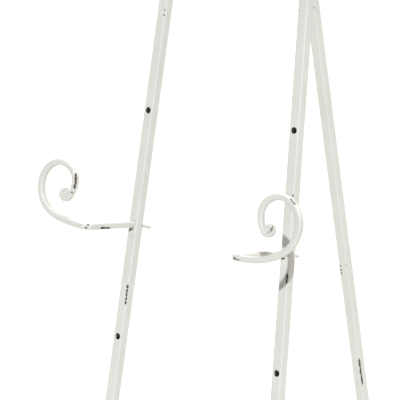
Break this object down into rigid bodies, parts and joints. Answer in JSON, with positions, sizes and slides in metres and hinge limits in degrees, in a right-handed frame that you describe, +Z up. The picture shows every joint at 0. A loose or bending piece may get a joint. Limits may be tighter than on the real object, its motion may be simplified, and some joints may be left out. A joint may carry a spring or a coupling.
{
  "type": "display easel",
  "caption": "Folding floor easel of square steel tube: two leaning front legs with peg holes, plug-in scroll hooks and a hinged rear leg.",
  "frame": {"origin": "on the floor, at the middle of the easel's box when it stands open", "axes": "+Z up, +X to the viewer's right, and the front of the easel faces -Y"},
  "size_m": [0.4955, 0.6454, 1.5888],
  "materials": {
    "white_paint": "satin off-white paint, chipped to dark metal at the edges",
    "zinc_steel": "dull zinc plate",
    "spacer_plastic": "matte nylon",
    "foot_rubber": "matte",
    "cap_plastic": "matte"
  },
  "bodies": {
    "frame": {"left_front_leg": "white_paint", "right_front_leg": "white_paint", "top_crossbar": "white_paint", "lower_crossbar": "white_paint", "hinge_bracket": "white_paint", "hinge_bolt": "zinc_steel", "hinge_nut": "zinc_steel", "hinge_washers": "zinc_steel", "hinge_spacers": "spacer_plastic", "left_crest_scroll": "white_paint", "right_crest_scroll": "white_paint", "crest_collar": "white_paint", "left_front_foot": "foot_rubber", "right_front_foot": "foot_rubber", "left_leg_cap": "cap_plastic", "right_leg_cap": "cap_plastic"},
    "rear_leg": {"rear_leg": "white_paint", "rear_foot": "foot_rubber", "rear_leg_cap": "cap_plastic"},
    "left_hook": {"left_hook_bar": "white_paint", "left_hook_pin": "white_paint"},
    "right_hook": {"right_hook_bar": "white_paint", "right_hook_pin": "white_paint"}
  },
  "joints": [
    {"name": "rear_leg_fold", "type": "hinge", "parent": "frame", "child": "rear_leg", "pos_m": [0, -0.041, 1.49076], "axis": [-1, 0, 0], "range_deg": [0, 22.8]},
    {"name": "left_hook_pull", "type": "slide", "parent": "frame", "child": "left_hook", "axis": [0.0605, -0.9533, 0.296], "range_m": [0, 0.06]},
    {"name": "right_hook_pull", "type": "slide", "parent": "frame", "child": "right_hook", "axis": [-0.059, -0.9087, 0.4132], "range_m": [0, 0.06]}
  ]
}
